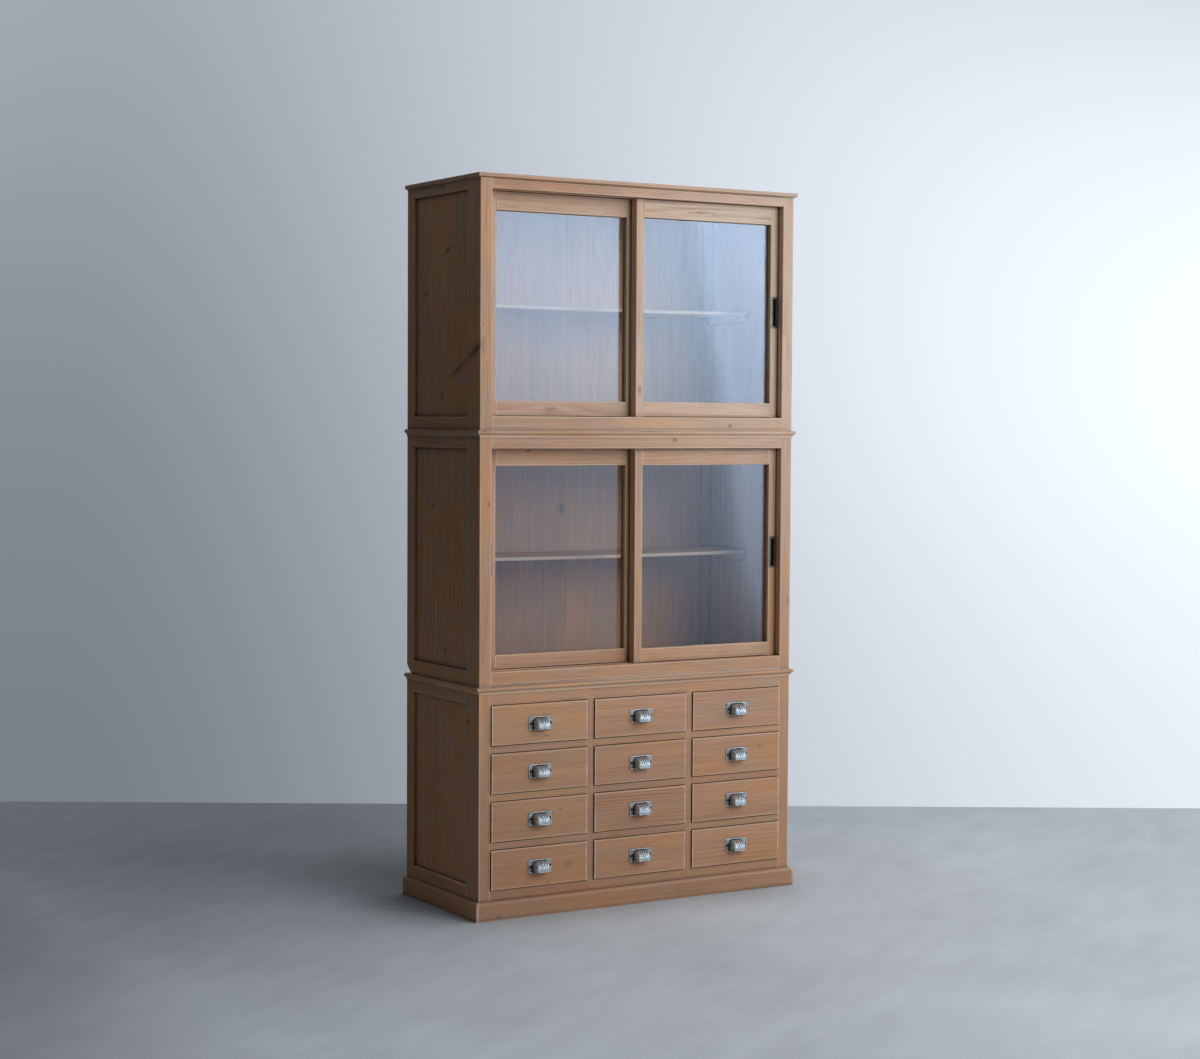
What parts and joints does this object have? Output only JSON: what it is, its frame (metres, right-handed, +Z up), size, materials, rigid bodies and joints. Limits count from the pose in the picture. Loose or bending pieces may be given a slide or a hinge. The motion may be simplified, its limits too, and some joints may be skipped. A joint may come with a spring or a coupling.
{
  "type": "mizuya kitchen cabinet",
  "caption": "Tall wooden kitchen cabinet of three stacked cases: sliding glazed doors over inner shelves above, small drawers with cup pulls below, on a plinth.",
  "frame": {"origin": "on the floor, at the middle of the overall width and depth", "axes": "+Z up, +X to the right as one faces the cabinet, +Y from the doors and drawers to the back"},
  "size_m": [0.9308, 0.412, 1.787],
  "materials": {
    "frame_wood": "dry stripped softwood",
    "panel_wood": "dry stripped softwood",
    "door_wood": "dry stripped softwood",
    "drawer_wood": "dry stripped softwood",
    "glass": "clear, smooth",
    "pull_iron": "aged, satin",
    "finger_pull_brass": "tarnished"
  },
  "bodies": {
    "cabinet": {"lower_posts": "frame_wood", "lower_frame_rails": "frame_wood", "lower_side_panels": "panel_wood", "lower_back_boards": "panel_wood", "middle_posts": "frame_wood", "middle_frame_rails": "frame_wood", "middle_side_panels": "panel_wood", "middle_back_boards": "panel_wood", "upper_posts": "frame_wood", "upper_frame_rails": "frame_wood", "upper_side_panels": "panel_wood", "upper_back_boards": "panel_wood", "upper_top_board": "frame_wood", "lower_cornice": "frame_wood", "middle_cornice": "frame_wood", "middle_floor_board": "frame_wood", "upper_floor_board": "frame_wood", "plinth": "frame_wood", "middle_door_rails": "frame_wood", "upper_door_rails": "frame_wood", "middle_shelf": "frame_wood", "upper_shelf": "frame_wood", "lower_front_frame": "frame_wood", "drawer_runners": "frame_wood"},
    "middle_left_sliding_door": {"middle_left_door": "door_wood", "middle_left_glass": "glass", "middle_left_finger_pull": "finger_pull_brass"},
    "middle_right_sliding_door": {"middle_right_door": "door_wood", "middle_right_glass": "glass", "middle_right_finger_pull": "finger_pull_brass"},
    "upper_left_sliding_door": {"upper_left_door": "door_wood", "upper_left_glass": "glass", "upper_left_finger_pull": "finger_pull_brass"},
    "upper_right_sliding_door": {"upper_right_door": "door_wood", "upper_right_glass": "glass", "upper_right_finger_pull": "finger_pull_brass"},
    "sliding_drawer_1_left": {"drawer_1_left": "drawer_wood", "cup_pull_1_left": "pull_iron"},
    "sliding_drawer_1_centre": {"drawer_1_centre": "drawer_wood", "cup_pull_1_centre": "pull_iron"},
    "sliding_drawer_1_right": {"drawer_1_right": "drawer_wood", "cup_pull_1_right": "pull_iron"},
    "sliding_drawer_2_left": {"drawer_2_left": "drawer_wood", "cup_pull_2_left": "pull_iron"},
    "sliding_drawer_2_centre": {"drawer_2_centre": "drawer_wood", "cup_pull_2_centre": "pull_iron"},
    "sliding_drawer_2_right": {"drawer_2_right": "drawer_wood", "cup_pull_2_right": "pull_iron"},
    "sliding_drawer_3_left": {"drawer_3_left": "drawer_wood", "cup_pull_3_left": "pull_iron"},
    "sliding_drawer_3_centre": {"drawer_3_centre": "drawer_wood", "cup_pull_3_centre": "pull_iron"},
    "sliding_drawer_3_right": {"drawer_3_right": "drawer_wood", "cup_pull_3_right": "pull_iron"},
    "sliding_drawer_4_left": {"drawer_4_left": "drawer_wood", "cup_pull_4_left": "pull_iron"},
    "sliding_drawer_4_centre": {"drawer_4_centre": "drawer_wood", "cup_pull_4_centre": "pull_iron"},
    "sliding_drawer_4_right": {"drawer_4_right": "drawer_wood", "cup_pull_4_right": "pull_iron"}
  },
  "joints": [
    {"name": "middle_left_door_slide", "type": "slide", "parent": "cabinet", "child": "middle_left_sliding_door", "axis": [1, 0, 0], "range_m": [0, 0.415]},
    {"name": "middle_right_door_slide", "type": "slide", "parent": "cabinet", "child": "middle_right_sliding_door", "axis": [-1, 0, 0], "range_m": [0, 0.415]},
    {"name": "upper_left_door_slide", "type": "slide", "parent": "cabinet", "child": "upper_left_sliding_door", "axis": [1, 0, 0], "range_m": [0, 0.415]},
    {"name": "upper_right_door_slide", "type": "slide", "parent": "cabinet", "child": "upper_right_sliding_door", "axis": [-1, 0, 0], "range_m": [0, 0.415]},
    {"name": "drawer_1_left_slide", "type": "slide", "parent": "cabinet", "child": "sliding_drawer_1_left", "axis": [0, -1, 0], "range_m": [0, 0.25]},
    {"name": "drawer_1_centre_slide", "type": "slide", "parent": "cabinet", "child": "sliding_drawer_1_centre", "axis": [0, -1, 0], "range_m": [0, 0.25]},
    {"name": "drawer_1_right_slide", "type": "slide", "parent": "cabinet", "child": "sliding_drawer_1_right", "axis": [0, -1, 0], "range_m": [0, 0.25]},
    {"name": "drawer_2_left_slide", "type": "slide", "parent": "cabinet", "child": "sliding_drawer_2_left", "axis": [0, -1, 0], "range_m": [0, 0.25]},
    {"name": "drawer_2_centre_slide", "type": "slide", "parent": "cabinet", "child": "sliding_drawer_2_centre", "axis": [0, -1, 0], "range_m": [0, 0.25]},
    {"name": "drawer_2_right_slide", "type": "slide", "parent": "cabinet", "child": "sliding_drawer_2_right", "axis": [0, -1, 0], "range_m": [0, 0.25]},
    {"name": "drawer_3_left_slide", "type": "slide", "parent": "cabinet", "child": "sliding_drawer_3_left", "axis": [0, -1, 0], "range_m": [0, 0.25]},
    {"name": "drawer_3_centre_slide", "type": "slide", "parent": "cabinet", "child": "sliding_drawer_3_centre", "axis": [0, -1, 0], "range_m": [0, 0.25]},
    {"name": "drawer_3_right_slide", "type": "slide", "parent": "cabinet", "child": "sliding_drawer_3_right", "axis": [0, -1, 0], "range_m": [0, 0.25]},
    {"name": "drawer_4_left_slide", "type": "slide", "parent": "cabinet", "child": "sliding_drawer_4_left", "axis": [0, -1, 0], "range_m": [0, 0.25]},
    {"name": "drawer_4_centre_slide", "type": "slide", "parent": "cabinet", "child": "sliding_drawer_4_centre", "axis": [0, -1, 0], "range_m": [0, 0.25]},
    {"name": "drawer_4_right_slide", "type": "slide", "parent": "cabinet", "child": "sliding_drawer_4_right", "axis": [0, -1, 0], "range_m": [0, 0.25]}
  ]
}
